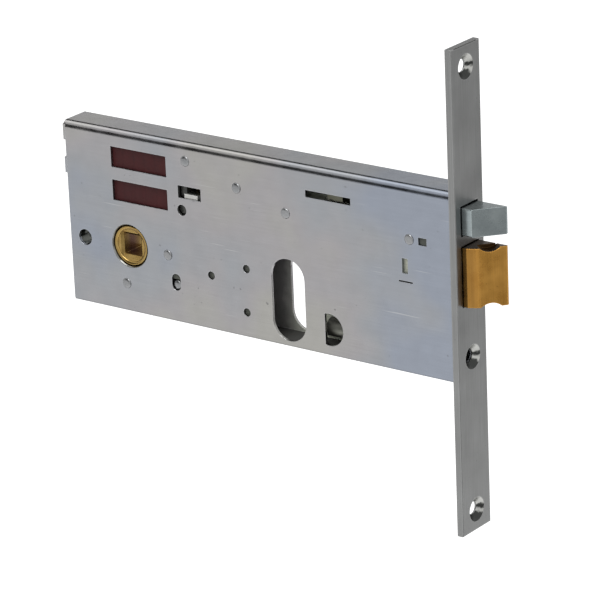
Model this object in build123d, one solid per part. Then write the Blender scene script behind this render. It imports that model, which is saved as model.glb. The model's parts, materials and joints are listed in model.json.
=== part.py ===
from build123d import *
import os
from math import atan2, cos, degrees, hypot, pi, sin, sqrt

# Electric mortise lock for a narrow door stile.
# Frame: the origin is the middle of the faceplate's front face, half way
# between the two fixing screws. +X leaves the door edge, +Z is up, and -Y is
# the cover side of the case.

# Faceplate
plate_width = 20.0
plate_length = 206.0
plate_thick = 3.0
plate_edge_round = 0.5
fix_pitch = 188.0
fix_hole_d = 5.4
sink_d = 10.4
sink_land = 0.7
cylinder_screw_z = -27.5
cylinder_screw_d = 5.6

# Case
case_thick = 15.0
case_rear = -202.2
case_bottom = -37.0
case_top = 43.0
sheet = 1.2
top_bend = 3.0
pan_bend = 2.0
rear_tab_length = 7.0
rear_tab_gap = 0.1
rear_tab_pitch = 14.7
cable_hole_d = 6.0
cable_hole_z = 8.0

# Latch bolt
latch_low = -4.4
latch_high = 20.6
latch_thick = 11.8
latch_tip = 14.0
latch_rear = -8.0
latch_bevel_start = 2.2
latch_knee = (6.8, -3.6)
latch_knee_round = 12.0
latch_tip_flat = 0.8
latch_travel = 13.0
scallop_radius = 6.2
scallop_depth = 1.7
scallop_reach = 5.0
scallop_share = 0.4

# Upper auxiliary bolt
upper_low = 25.6
upper_high = 37.2
upper_thick = 11.4
upper_tip = 14.3
upper_rear = -12.0
upper_bevel_start = 4.8
upper_tip_flat = 0.7
upper_edge_break = 0.4
upper_travel = 12.0
tail_thick = 3.0
tail_height = 6.0
tail_end = -66.0
tail_seat = 7.0
lug_length = 5.0
lug_height = 2.2
lug_front = -57.3
lug_recess = 1.0

# Clearances
bolt_gap = 0.4
upper_bolt_gap = 0.6
running = 0.05
layer_gap = 0.4
fork_gap = 0.3
slide_gap = 0.3
cut_past = 1.0
touch = 0.01

# Draw bar from the latch to the follower
bar_thick = 2.0
bar_inset = 0.3
bar_low = 2.5
bar_high = 9.0
bar_head_high = 13.0
bar_head_rear = -46.0
bar_seat = 7.0
bar_rear = -167.0
arch_front = -67.0
arch_rear = -97.0
arch_rise = 6.7
arch_slope = 6.0
notch_length = 3.6
notch_depth = 2.2
notch_lead = 1.5
bar_pin_d = 3.2
bar_pin_z = 5.7
bar_pin_recess = 0.2
rivet_d = 3.0
rivet_inset = 2.6
rivet_root = 1.0

# Spring rod behind the latch
rod_d = 4.0
rod_y = 2.2
rod_seat = 6.0
rod_end = -47.0

# Guide plate across the case behind the bolts
guide_front = -40.0
guide_thick = 1.6
guide_low = -3.0
guide_high = 38.8
guide_foot = 6.0

# Springs, drawn with a six-sided wire to keep their faces few
wire_sides = 6
samples_per_half_turn = 12
latch_spring_d = 7.6
latch_spring_wire = 1.0
latch_spring_turns = 8
upper_spring_d = 10.4
upper_spring_wire = 1.2
upper_spring_turns = 7
armature_spring_d = 4.2
armature_spring_wire = 0.6
armature_spring_turns = 4

# Handle follower
follower_x = -169.0
follower_z = -7.6
follower_front_d = 18.2
follower_front_gap = 0.5
follower_rear_d = 16.0
follower_flange_d = 21.0
follower_recess = 1.0
follower_square = 9.2
follower_mouth_chamfer = 1.2
follower_rear_chamfer = 0.4
follower_rim_chamfer = 0.6
arm_width = 9.0
arm_overreach = 1.4
arm_thick = 3.0
prong_round = 1.7

# Profile cylinder cut-out and the lever that its cam pushes
cylinder_x = -86.0
cylinder_z = -16.8
cylinder_width = 17.0
cylinder_height = 36.0
lever_x = -60.0
lever_z = -17.0
lever_pin_d = 5.0
lever_boss_d = 10.0
lever_nose = (-13.0, 5.6)
lever_nose_d = 4.0
lever_arm_width = 8.0

# Sleeve that guides the cylinder's long retaining screw
sleeve_front = -58.0
sleeve_rear = -70.0
sleeve_d = 8.0
sleeve_foot = 4.0

# Electromagnet
coil_x = -162.0
coil_upper_z = 31.1
coil_lower_z = 16.4
coil_rear = -178.0
coil_front = -146.7
coil_side_gap = 0.2
coil_height = 13.6
coil_corner = 2.5
bobbin_wall = 1.2
core_d = 6.0
core_proud = 0.1
yoke_thick = 2.5
yoke_low = 10.2
yoke_high = 37.5
yoke_inset = 0.6
lead_d = 0.8
lead_back_gap = 0.15
lead_heights = (20.0, 25.0)
window_length = 29.4
window_height = 9.1

# Armature and its catch lever
armature_x = -139.9
armature_z = 13.3
armature_pin_d = 4.0
armature_boss_d = 7.2
armature_gap = 1.5
armature_thick = 2.5
armature_low = 11.0
armature_high = 36.4
armature_inset = 1.0
catch_leg_width = 3.2
catch_leg_drop = 2.0
catch_boss_back = 4.0
catch_arm_end = -118.0
catch_arm_height = 3.0
catch_nose = 3.0
catch_ride = 0.35
catch_pad = 5.0
catch_pad_thick = 1.0
spring_seat_x = -124.0
spring_seat_z = 22.0
spring_lug_length = 6.0

# Terminal block
terminal_front = -128.5
terminal_rear = -139.1
terminal_low = 17.6
terminal_high = 26.0
terminal_recess = 0.4
trough_wall = 1.2
trough_low = 20.7
trough_depth = 6.0
strip_length = 6.8
strip_low = 18.5
strip_high = 20.3
strip_front_gap = 0.05
strip_depth = 1.2
terminal_screw_d = 3.4
terminal_screw_head = 1.5
terminal_screw_pitch = 4.0
terminal_screw_slot = 0.6
wire_entry_d = 2.2
terminal_slot = (12.0, 5.4)
terminal_slot_at = (-135.5, 21.4)
access_hole_d = 4.8

# Staked posts that tie the two sheets together
post_places = (
    (-137.0, 35.3),
    (-110.7, 27.9),
    (-148.7, -8.0),
    (-171.8, -24.7),
    (-85.8, 21.1),
    (-24.4, 20.4),
)
post_d = 5.2
stake_d = 4.4
stake_recess = 0.3
anchor_at = (-144.8, -20.9)
anchor_d = 4.0
anchor_recess = 0.4
anchor_slot_width = 4.6
anchor_slot_top = -15.8

# Through tube for a handle-plate screw
tube_x = -193.3
tube_z = -7.7
tube_bore_d = 7.0
tube_d = 9.5

# Small openings in the cover
pilot_holes = ((-125.9, -13.1), (-107.3, -6.9), (-107.9, -26.2))
pilot_d = 3.6
lug_slot_height = 3.0
lug_slot_ahead = 4.5
lug_slot_behind = 1.0
gauge_hole = (4.0, 3.2)
gauge_hole_at = (-17.9, 20.4)
bar_window = (2.8, 6.4)
bar_window_at = (-26.8, 8.7)
lance_slit = (6.8, 0.6)
lance_slit_at = (-26.6, 2.0)
sleeve_window_front = -58.7
sleeve_window_rear = -67.8
sleeve_window_low = -32.7
sleeve_window_high = -19.2

# Derived places
plate_back = -plate_thick
front_face = -case_thick / 2
back_face = case_thick / 2
inner_front = front_face + sheet
inner_back = back_face - sheet
inner_top = case_top - sheet
latch_mid = (latch_low + latch_high) / 2
upper_mid = (upper_low + upper_high) / 2
rear_tab_high = inner_top - rear_tab_gap - rear_tab_length / 2
rear_tab_heights = (rear_tab_high, rear_tab_high - rear_tab_pitch)
bar_y0 = bar_inset - latch_thick / 2
bar_y1 = bar_y0 + bar_thick
arm_y0 = bar_y1 + layer_gap
arm_y1 = arm_y0 + arm_thick
coil_depth = inner_back - inner_front - 2 * coil_side_gap
follower_reach = bar_pin_z - follower_z
lever_reach = bar_pin_z - lever_z
follower_lean = degrees(atan2(latch_travel / 2, follower_reach))
lever_lean = degrees(atan2(latch_travel / 2, lever_reach))


def block(x0, x1, y0, y1, z0, z1):
    """A box between two corners."""
    centre = Pos((x0 + x1) / 2, (y0 + y1) / 2, (z0 + z1) / 2)
    return centre * Box(abs(x1 - x0), abs(y1 - y0), abs(z1 - z0))


def slab(sketch, y0, y1):
    """A plate cut from a sketch in X and Z, between two depths."""
    return extrude(Plane.XZ.offset(-y1) * sketch, amount=y1 - y0)


def pin_y(x, z, d, y0, y1):
    """A round pin along Y."""
    return slab(Pos(x, z) * Circle(d / 2), y0, y1)


def pin_x(y, z, d, x0, x1):
    """A round pin along X."""
    middle = Pos((x0 + x1) / 2, y, z)
    return middle * Rot(0, 90, 0) * Cylinder(d / 2, abs(x1 - x0))


def through(sketch):
    """A cutter that passes through the whole case along Y."""
    return slab(sketch, front_face - cut_past, back_face + cut_past)


def front_cut(sketch):
    """A cutter that passes through the cover sheet alone."""
    return slab(sketch, front_face - cut_past, inner_front + touch)


def stadium(x, z, width, height):
    """An upright slot with round ends."""
    return Pos(x, z) * Rot(0, 0, 90) * SlotOverall(height, width)


def link(a, da, b, db):
    """The outline round two circles."""
    circles = Sketch() + [Pos(*a) * Circle(da / 2), Pos(*b) * Circle(db / 2)]
    return make_hull(circles.edges())


def countersunk(z, hole_d):
    """The cutter of a countersunk hole through the faceplate."""
    depth = plate_thick - sink_land
    run = (sink_d - hole_d) / 2
    cone_r = hole_d / 2 + run
    cone = Pos(-depth / 2, 0, z) * Rot(0, 90, 0) * Cone(hole_d / 2, cone_r, depth)
    return pin_x(0, z, hole_d, plate_back - cut_past, cut_past) + cone


def bolt_hole(low, high, thick, gap, x0, x1):
    """The cutter of a bolt's rectangular opening."""
    half = thick / 2 + gap
    return block(x0, x1, -half, half, low - gap, high + gap)


def coil_spring(outer_d, wire, turns, length):
    """A compression spring along +Z, one tube swept on biarcs of half a turn."""
    mean = (outer_d - wire) / 2
    rise = (length - wire) / turns
    steps = 2 * turns

    def place(k):
        angle = pi * k
        return Vector(mean * cos(angle), mean * sin(angle), wire / 2 + rise * k / 2)

    def heading(k):
        angle = pi * k
        return Vector(-mean * sin(angle), mean * cos(angle), rise / (2 * pi)).normalized()

    edges = []
    for k in range(steps):
        start, end = place(k), place(k + 1)
        t0, t1 = heading(k), heading(k + 1)
        chord = end - start
        both = t0 + t1
        spread = 2 * (1 - t0.dot(t1))
        along = chord.dot(both)
        reach = (sqrt(along ** 2 + spread * chord.dot(chord)) - along) / spread
        q0 = start + t0 * reach
        q1 = end - t1 * reach
        middle = (q0 + q1) * 0.5
        edges.append(TangentArc(start, middle, tangent=t0))
        edges.append(TangentArc(middle, end, tangent=(q1 - q0).normalized()))
    path = Wire(edges)
    count = samples_per_half_turn * steps
    samples = [path @ (k / count) for k in range(count + 1)]
    least = min(
        (samples[i] - samples[j]).length
        for i in range(len(samples))
        for j in range(i + samples_per_half_turn, min(i + 3 * samples_per_half_turn, len(samples)))
    )
    print(f"spring of {turns} turns: least gap {least - wire:.2f} mm")
    return sweep(Plane(place(0), z_dir=heading(0)) * RegularPolygon(wire / 2, wire_sides), path=path)


# Faceplate with its screw holes and bolt openings
faceplate = block(plate_back, 0, -plate_width / 2, plate_width / 2, -plate_length / 2, plate_length / 2)
faceplate = fillet(faceplate.faces().sort_by(Axis.X)[-1].edges(), plate_edge_round)
for z in (-fix_pitch / 2, fix_pitch / 2):
    faceplate -= countersunk(z, fix_hole_d)
faceplate -= countersunk(cylinder_screw_z, cylinder_screw_d)
faceplate -= bolt_hole(latch_low, latch_high, latch_thick, bolt_gap,
                       plate_back - cut_past, cut_past)
faceplate -= bolt_hole(upper_low, upper_high, upper_thick, upper_bolt_gap,
                       plate_back - cut_past, cut_past)

# Cut-outs shared by both sheets of the case
cylinder_cut = through(stadium(cylinder_x, cylinder_z, cylinder_width, cylinder_height))
tube_cut = through(Pos(tube_x, tube_z) * Circle(tube_bore_d / 2))
stake_cuts = [through(Pos(*place) * Circle(stake_d / 2)) for place in post_places]

# Pan: back sheet with its rear, bottom and front walls
wall_rear = case_rear + sheet
case_pan = block(case_rear, plate_back, inner_back, back_face, case_bottom, inner_top)
case_pan += block(case_rear, plate_back, inner_front, back_face, case_bottom, case_bottom + sheet)
case_pan += block(case_rear, wall_rear, inner_front, back_face, case_bottom, inner_top)
case_pan += block(plate_back - sheet, plate_back, inner_front, back_face, case_bottom, inner_top)
front_corner = case_pan.edges().filter_by(Axis.X).filter_by(
    lambda e: e.center().X > plate_back - sheet and e.center().Z > inner_top - touch
    and e.center().Y < inner_front + touch)
case_pan = fillet(front_corner, top_bend - sheet)
outer_bends = case_pan.edges().filter_by(
    lambda e: e.center().Y > back_face - touch
    and (e.center().X < case_rear + touch or e.center().Z < case_bottom + touch))
case_pan = fillet(outer_bends, pan_bend)
for z in rear_tab_heights:
    tab = (z - rear_tab_length / 2, z + rear_tab_length / 2)
    case_pan += block(case_rear, wall_rear, front_face, inner_front, *tab)
case_pan += block(spring_seat_x - spring_lug_length / 2, spring_seat_x + spring_lug_length / 2,
                  inner_front + layer_gap, inner_back,
                  spring_seat_z, spring_seat_z + sheet)
case_pan -= bolt_hole(latch_low, latch_high, latch_thick, bolt_gap,
                     plate_back - 2 * sheet, plate_back + cut_past)
case_pan -= bolt_hole(upper_low, upper_high, upper_thick, upper_bolt_gap,
                      plate_back - 2 * sheet, plate_back + cut_past)
case_pan -= pin_x(0, cylinder_screw_z, cylinder_screw_d, plate_back - 2 * sheet, plate_back + cut_past)
case_pan -= pin_x(0, cable_hole_z, cable_hole_d, case_rear - cut_past, wall_rear + cut_past)
case_pan -= pin_y(follower_x, follower_z, follower_rear_d + 2 * running,
                  inner_back - cut_past, back_face + cut_past)
case_pan -= cylinder_cut
case_pan -= tube_cut
case_pan -= stake_cuts

# Cover: front sheet bent over the top
case_cover = block(wall_rear, plate_back, front_face, inner_front, case_bottom, case_top)
case_cover += block(case_rear, plate_back, front_face, back_face, inner_top, case_top)
bend_outer = case_cover.edges().filter_by(Axis.X).sort_by(lambda e: e.center().Z - e.center().Y)[-1]
case_cover = fillet(bend_outer, top_bend)
bend_inner = case_cover.edges().filter_by(Axis.X).filter_by(
    lambda e: abs(e.center().Z - inner_top) < touch and abs(e.center().Y - inner_front) < touch)
case_cover = fillet(bend_inner, top_bend - sheet)
lug_slot_length = lug_slot_ahead + lug_length + upper_travel + lug_slot_behind
lug_slot_mid = lug_front + lug_slot_ahead - lug_slot_length / 2
cover_holes = [
    Pos(coil_x, coil_upper_z) * Rectangle(window_length, window_height),
    Pos(coil_x, coil_lower_z) * Rectangle(window_length, window_height),
    Pos(*terminal_slot_at) * Rectangle(*terminal_slot),
    Pos(armature_x, armature_z) * Circle(access_hole_d / 2),
    Pos(follower_x, follower_z) * Circle(follower_front_d / 2 + follower_front_gap),
    Pos(lug_slot_mid, upper_mid) * Rectangle(lug_slot_length, lug_slot_height),
    Pos(*gauge_hole_at) * Rectangle(*gauge_hole),
    Pos(*bar_window_at) * Rectangle(*bar_window),
    Pos(*lance_slit_at) * Rectangle(*lance_slit),
]
cover_holes += [Pos(*place) * Circle(pilot_d / 2) for place in pilot_holes]
anchor_slot_height = anchor_slot_top - anchor_at[1] + anchor_slot_width / 2
anchor_slot_mid = anchor_slot_top - anchor_slot_height / 2
cover_holes.append(stadium(anchor_at[0], anchor_slot_mid, anchor_slot_width, anchor_slot_height))
window_mid = (sleeve_window_low + sleeve_window_high) / 2
window_bulge = ThreePointArc(
    (sleeve_window_rear, sleeve_window_low),
    (sleeve_window_front, window_mid),
    (sleeve_window_rear, sleeve_window_high),
)
window_edge = Line(window_bulge @ 1, window_bulge @ 0)
cover_holes.append(make_face([window_bulge, window_edge]))
for outline in cover_holes:
    case_cover -= front_cut(outline)
case_cover -= cylinder_cut
case_cover -= tube_cut
case_cover -= stake_cuts

# Staked posts, the anchor post and the through tube
post = pin_y(0, 0, post_d, inner_front, inner_back)
post += pin_y(0, 0, stake_d, front_face + stake_recess, back_face - stake_recess)
case_posts = [Pos(x, 0, z) * post for x, z in post_places]
anchor_post = pin_y(*anchor_at, anchor_d, front_face + anchor_recess, inner_back)
fixing_tube = slab(Pos(tube_x, tube_z) * (Circle(tube_d / 2) - Circle(tube_bore_d / 2)),
                   inner_front, inner_back)

# Latch bolt: bevelled nose with a scallop in its top and bottom edges
half = latch_thick / 2
latch_outline = Polyline(
    (latch_rear, -half),
    (latch_bevel_start, -half),
    latch_knee,
    (latch_tip, half - latch_tip_flat),
    (latch_tip, half),
    (latch_rear, half),
    close=True,
)
latch_face = make_face(latch_outline)
knee = latch_face.vertices().sort_by_distance(Vector(*latch_knee))[0]
latch_face = fillet(knee, latch_knee_round)
latch_bolt = Pos(0, 0, latch_low) * extrude(latch_face, latch_high - latch_low)
bevel_dx = latch_tip - latch_knee[0]
bevel_dy = half - latch_tip_flat - latch_knee[1]
bevel_length = hypot(bevel_dx, bevel_dy)
scallop_at = (latch_knee[0] + scallop_share * bevel_dx, latch_knee[1] + scallop_share * bevel_dy)
inward = Vector(-bevel_dy / bevel_length, bevel_dx / bevel_length, 0)
scallop_rise = scallop_radius - scallop_depth
for z in (latch_high + scallop_rise, latch_low - scallop_rise):
    start = Vector(*scallop_at, z) - inward * scallop_reach
    scallop = Plane(start, z_dir=inward) * Circle(scallop_radius)
    latch_bolt -= extrude(scallop, amount=2 * scallop_reach)
bar_socket = block(latch_rear, latch_rear + bar_seat, bar_y0, bar_y1, bar_low, bar_head_high)
latch_bolt -= bar_socket
latch_bolt -= pin_x(rod_y, latch_mid, rod_d, latch_rear - cut_past, latch_rear + rod_seat)
rivet_heights = (bar_low + rivet_inset, bar_head_high - rivet_inset)
latch_rivet_x = latch_rear + bar_seat / 2
for z in rivet_heights:
    latch_bolt -= pin_y(latch_rivet_x, z, rivet_d, -half - cut_past, bar_y1 + rivet_root)
latch_rivets = [pin_y(latch_rivet_x, z, rivet_d, -half, bar_y1 + rivet_root) for z in rivet_heights]

# Draw bar with its arch over the cylinder and the catch notch
bar_points = [
    (latch_rear + bar_seat, bar_low),
    (latch_rear + bar_seat, bar_head_high),
    (bar_head_rear, bar_head_high),
    (bar_head_rear - (bar_head_high - bar_high), bar_high),
    (arch_front + arch_slope, bar_high),
    (arch_front, bar_high + arch_rise),
    (arch_rear, bar_high + arch_rise),
    (arch_rear - arch_slope, bar_high),
    (bar_rear, bar_high),
    (bar_rear, bar_low),
    (arch_rear - arch_slope, bar_low),
    (arch_rear, bar_low + arch_rise),
    (arch_front, bar_low + arch_rise),
    (arch_front + arch_slope, bar_low),
]
draw_bar = slab(make_face(Polyline(*bar_points, close=True)), bar_y0, bar_y1)
catch_x = catch_arm_end - catch_nose / 2
notch_x = catch_x + latch_travel
draw_bar -= block(notch_x - notch_length / 2 - notch_lead, notch_x + notch_length / 2,
                  bar_y0 - cut_past, bar_y1 + cut_past, bar_high - notch_depth, bar_high + cut_past)
bar_pin_places = (follower_x + latch_travel / 2, lever_x + latch_travel / 2)
for x in bar_pin_places:
    draw_bar -= pin_y(x, bar_pin_z, bar_pin_d, bar_y0 - cut_past, bar_y1 + cut_past)
for z in rivet_heights:
    draw_bar -= pin_y(latch_rivet_x, z, rivet_d, bar_y0 - cut_past, bar_y1 + cut_past)
bar_pins = [pin_y(x, bar_pin_z, bar_pin_d, bar_y0, arm_y1 - bar_pin_recess) for x in bar_pin_places]
latch_spring_rod = pin_x(rod_y, latch_mid, rod_d, rod_end, latch_rear + rod_seat)

# Upper bolt with its flat tail
half_upper = upper_thick / 2
upper_outline = Polyline(
    (upper_rear, -half_upper),
    (upper_bevel_start, -half_upper),
    (upper_tip, half_upper - upper_tip_flat),
    (upper_tip, half_upper),
    (upper_rear, half_upper),
    close=True,
)
upper_bolt = Pos(0, 0, upper_low) * extrude(make_face(upper_outline), upper_high - upper_low)
upper_bolt = chamfer(upper_bolt.edges().filter_by(Axis.X), upper_edge_break)
tail_low = upper_mid - tail_height / 2
tail_high = upper_mid + tail_height / 2
upper_bolt -= block(upper_rear, upper_rear + tail_seat, -tail_thick / 2, tail_thick / 2,
                    tail_low, tail_high)
upper_rivet_x = upper_rear + tail_seat / 2
upper_bolt -= pin_y(upper_rivet_x, upper_mid, rivet_d, -half_upper - cut_past, half_upper + cut_past)
upper_bolt_rivet = pin_y(upper_rivet_x, upper_mid, rivet_d, -half_upper, half_upper)
upper_bolt_tail = block(tail_end, upper_rear + tail_seat, -tail_thick / 2, tail_thick / 2,
                        tail_low, tail_high)
upper_bolt_tail += block(lug_front - lug_length, lug_front, front_face + lug_recess, 0,
                         upper_mid - lug_height / 2, upper_mid + lug_height / 2)
upper_bolt_tail -= pin_y(upper_rivet_x, upper_mid, rivet_d, -half_upper, half_upper)

# Guide plate that carries the bolt tails and seats their springs
guide_rear = guide_front - guide_thick
guide_plate = block(guide_rear, guide_front, arm_y0, inner_back, guide_low, guide_high)
guide_plate += block(guide_rear - guide_foot, guide_rear, inner_back - sheet, inner_back,
                     guide_low, guide_high)
guide_plate -= block(guide_rear - cut_past, guide_front + cut_past,
                     -tail_thick / 2 - slide_gap, tail_thick / 2 + slide_gap,
                     tail_low - slide_gap, tail_high + slide_gap)
guide_plate -= pin_x(rod_y, latch_mid, rod_d + 2 * running, guide_rear - cut_past, guide_front + cut_past)

# Springs of the two bolts and of the armature
latch_spring = coil_spring(latch_spring_d, latch_spring_wire, latch_spring_turns, latch_rear - guide_front)
latch_spring = Pos(guide_front, rod_y, latch_mid) * Rot(0, 90, 0) * latch_spring
upper_bolt_spring = coil_spring(upper_spring_d, upper_spring_wire, upper_spring_turns,
                                upper_rear - guide_front)
upper_bolt_spring = Pos(guide_front, 0, upper_mid) * Rot(0, 90, 0) * upper_bolt_spring

# Handle follower with a forked arm over the draw bar's rear pin
fork_width = bar_pin_d + 2 * fork_gap
follower_tip = hypot(follower_reach, latch_travel / 2) + arm_overreach
follower_root = follower_reach - bar_pin_d / 2 - 2 * fork_gap


def forked_arm(reach_tip, fork_root, width):
    """A straight arm up from its pivot, with an open fork at its end."""
    arm = Pos(0, reach_tip / 2) * Rectangle(width, reach_tip)
    tip_corners = arm.vertices().group_by(Axis.Y)[-1]
    arm = fillet(tip_corners, prong_round)
    fork_length = reach_tip - fork_root
    fork_mid = fork_root + (fork_length + cut_past) / 2
    return arm - Pos(0, fork_mid) * Rectangle(fork_width, fork_length + cut_past)


hub_front = front_face + follower_recess
hub_ends = (hub_front, back_face)
follower_hub = pin_y(0, 0, follower_front_d, hub_front, arm_y0)
follower_hub += pin_y(0, 0, follower_flange_d, arm_y0, inner_back - layer_gap)
follower_hub += pin_y(0, 0, follower_rear_d, inner_back - layer_gap, back_face)
end_rims = follower_hub.edges().filter_by(GeomType.CIRCLE).filter_by(
    lambda e: min(abs(e.center().Y - y) for y in hub_ends) < touch)
follower_hub = chamfer(end_rims, follower_rim_chamfer)
arm_sketch = forked_arm(follower_tip, follower_root, arm_width)
follower_hub += Rot(0, follower_lean, 0) * slab(arm_sketch, arm_y0, arm_y1)
follower_hub -= through(Rectangle(follower_square, follower_square))
for y, size in ((hub_front, follower_mouth_chamfer), (back_face, follower_rear_chamfer)):
    square_rim = follower_hub.edges().filter_by(GeomType.LINE).filter_by(
        lambda e: abs(e.center().Y - y) < touch)
    follower_hub = chamfer(square_rim, size)
follower_hub = Pos(follower_x, 0, follower_z) * follower_hub

# Cylinder lever on its pivot pin
lever_tip = hypot(lever_reach, latch_travel / 2) + arm_overreach
lever_root = lever_reach - bar_pin_d / 2 - 2 * fork_gap
lever_sketch = forked_arm(lever_tip, lever_root, lever_arm_width)
lever_sketch += Circle(lever_boss_d / 2)
lever_sketch += link((0, 0), lever_boss_d, lever_nose, lever_nose_d)
lever_sketch -= Circle(lever_pin_d / 2 + running)
cylinder_lever = slab(lever_sketch, arm_y0, arm_y1)
cylinder_lever = Pos(lever_x, 0, lever_z) * Rot(0, lever_lean, 0) * cylinder_lever
lever_pivot = pin_y(lever_x, lever_z, lever_pin_d, inner_front, inner_back)

# Sleeve that guides the cylinder's retaining screw
sleeve_mid = (sleeve_front + sleeve_rear) / 2
screw_sleeve = pin_x(0, cylinder_screw_z, sleeve_d, sleeve_rear, sleeve_front)
screw_sleeve += block(sleeve_mid - sleeve_foot / 2, sleeve_mid + sleeve_foot / 2, 0, inner_back,
                      cylinder_screw_z - sleeve_foot / 2, cylinder_screw_z + sleeve_foot / 2)
screw_sleeve -= pin_x(0, cylinder_screw_z, cylinder_screw_d,
                      sleeve_rear - cut_past, sleeve_front + cut_past)

# Electromagnet: two cores on a yoke, each with its bobbin and winding
magnet_yoke = block(coil_rear - yoke_thick, coil_rear, yoke_inset - coil_depth / 2, inner_back,
                    yoke_low, yoke_high)
tube_outer = core_d + 2 * bobbin_wall
coil_section = RectangleRounded(coil_height, coil_depth, coil_corner)


def along_x(sketch, x0, x1, z):
    """A bar along X with the sketch as its section."""
    return Pos(x0, 0, z) * Rot(0, 90, 0) * extrude(sketch, x1 - x0)


magnet_cores = []
coil_bobbins = []
coil_windings = []
for z in (coil_upper_z, coil_lower_z):
    magnet_cores.append(pin_x(0, z, core_d, coil_rear, coil_front + core_proud))
    bobbin = along_x(Circle(tube_outer / 2), coil_rear, coil_front, z)
    bobbin += along_x(coil_section, coil_rear, coil_rear + bobbin_wall, z)
    bobbin += along_x(coil_section, coil_front - bobbin_wall, coil_front, z)
    bobbin -= pin_x(0, z, core_d, coil_rear - cut_past, coil_front + cut_past)
    coil_bobbins.append(bobbin)
    winding = coil_section - Circle(tube_outer / 2)
    coil_windings.append(along_x(winding, coil_rear + bobbin_wall, coil_front - bobbin_wall, z))

# Leads from the coils to the terminal block, along the back sheet
lead_y = inner_back - lead_back_gap - lead_d / 2
coil_leads = [pin_x(lead_y, z, lead_d, coil_front, terminal_rear) for z in lead_heights]

# Armature plate and the catch lever that carries it
armature_face = coil_front + core_proud + armature_gap
armature_half = coil_depth / 2 - armature_inset
armature_plate = block(armature_face, armature_face + armature_thick, -armature_half, armature_half,
                       armature_low, armature_high)
leg_rear = armature_face + armature_thick
catch_lever = block(leg_rear, leg_rear + catch_leg_width, bar_y0, bar_y1,
                    armature_low, armature_high - catch_leg_drop)
catch_lever += pin_y(armature_x, armature_z, armature_boss_d, bar_y0, bar_y1 + catch_boss_back)
arm_low = armature_z - catch_arm_height / 2
arm_high = armature_z + catch_arm_height / 2
catch_lever += block(armature_x, catch_arm_end, bar_y0, bar_y1, arm_low, arm_high)
catch_lever += block(catch_arm_end - catch_nose, catch_arm_end, bar_y0, bar_y1,
                     bar_high + catch_ride, arm_high)
catch_lever += block(spring_seat_x - catch_pad / 2, spring_seat_x + catch_pad / 2,
                     bar_y0, bar_y0 + catch_pad, arm_high - catch_pad_thick, arm_high)
catch_lever -= armature_plate
catch_lever -= pin_y(armature_x, armature_z, armature_pin_d + 2 * running, bar_y0 - cut_past, inner_back)
armature_pivot = pin_y(armature_x, armature_z, armature_pin_d, bar_y0, inner_back)
armature_spring = coil_spring(armature_spring_d, armature_spring_wire, armature_spring_turns,
                              spring_seat_z - arm_high)
armature_spring = Pos(spring_seat_x, bar_y0 + catch_pad / 2, arm_high) * armature_spring

# Terminal block with its two clamp screws and the strip on its front
terminal_block = block(terminal_rear, terminal_front, inner_front + terminal_recess, inner_back,
                       terminal_low, terminal_high)
strip_y0 = inner_front + strip_front_gap
terminal_strip = block(terminal_rear, terminal_rear + strip_length, strip_y0, strip_y0 + strip_depth,
                       strip_low, strip_high)
terminal_block -= terminal_strip
trough_floor = inner_front + terminal_recess + trough_depth
terminal_block -= block(terminal_rear + trough_wall, terminal_front - trough_wall,
                        front_face, trough_floor, trough_low, terminal_high - trough_wall)
terminal_mid_x = (terminal_rear + terminal_front) / 2
terminal_mid_z = (trough_low + terminal_high - trough_wall) / 2
wire_entry_y = (inner_front + terminal_recess + trough_floor) / 2
terminal_screws = []
for offset in (-terminal_screw_pitch / 2, terminal_screw_pitch / 2):
    x = terminal_mid_x + offset
    screw = pin_y(x, terminal_mid_z, terminal_screw_d, trough_floor - terminal_screw_head, trough_floor)
    screw -= block(x - terminal_screw_d, x + terminal_screw_d,
                   trough_floor - terminal_screw_head - cut_past, trough_floor - terminal_screw_head / 2,
                   terminal_mid_z - terminal_screw_slot / 2, terminal_mid_z + terminal_screw_slot / 2)
    terminal_screws.append(screw)
    wire_entry = Pos(x, wire_entry_y, terminal_high) * Cylinder(wire_entry_d / 2, 4 * trough_wall)
    terminal_block -= wire_entry

nodes = {
    "faceplate": faceplate,
    "case_pan": case_pan,
    "case_cover": case_cover,
    "case_posts": case_posts,
    "anchor_post": anchor_post,
    "fixing_tube": fixing_tube,
    "guide_plate": guide_plate,
    "screw_sleeve": screw_sleeve,
    "lever_pivot": lever_pivot,
    "magnet_yoke": magnet_yoke,
    "magnet_cores": magnet_cores,
    "coil_bobbins": coil_bobbins,
    "coil_windings": coil_windings,
    "coil_leads": coil_leads,
    "armature_pivot": armature_pivot,
    "armature_spring": armature_spring,
    "terminal_block": terminal_block,
    "terminal_screws": terminal_screws,
    "terminal_strip": terminal_strip,
    "latch_spring": latch_spring,
    "upper_bolt_spring": upper_bolt_spring,
    "latch_bolt": latch_bolt,
    "draw_bar": draw_bar,
    "latch_rivets": latch_rivets,
    "bar_pins": bar_pins,
    "latch_spring_rod": latch_spring_rod,
    "upper_bolt": upper_bolt,
    "upper_bolt_tail": upper_bolt_tail,
    "upper_bolt_rivet": upper_bolt_rivet,
    "follower_hub": follower_hub,
    "cylinder_lever": cylinder_lever,
    "catch_lever": catch_lever,
    "armature_plate": armature_plate,
}

os.makedirs("parts", exist_ok=True)
for name, shape in nodes.items():
    pieces = shape if isinstance(shape, list) else [shape]
    solids = [solid for piece in pieces for solid in piece.solids()]
    whole = solids[0] if len(solids) == 1 else Compound(children=solids)
    export_step(whole, f"parts/{name}.step")
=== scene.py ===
import json
import random
from math import cos, radians, sin

import bmesh
import bpy
from mathutils import Matrix, Vector


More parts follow.
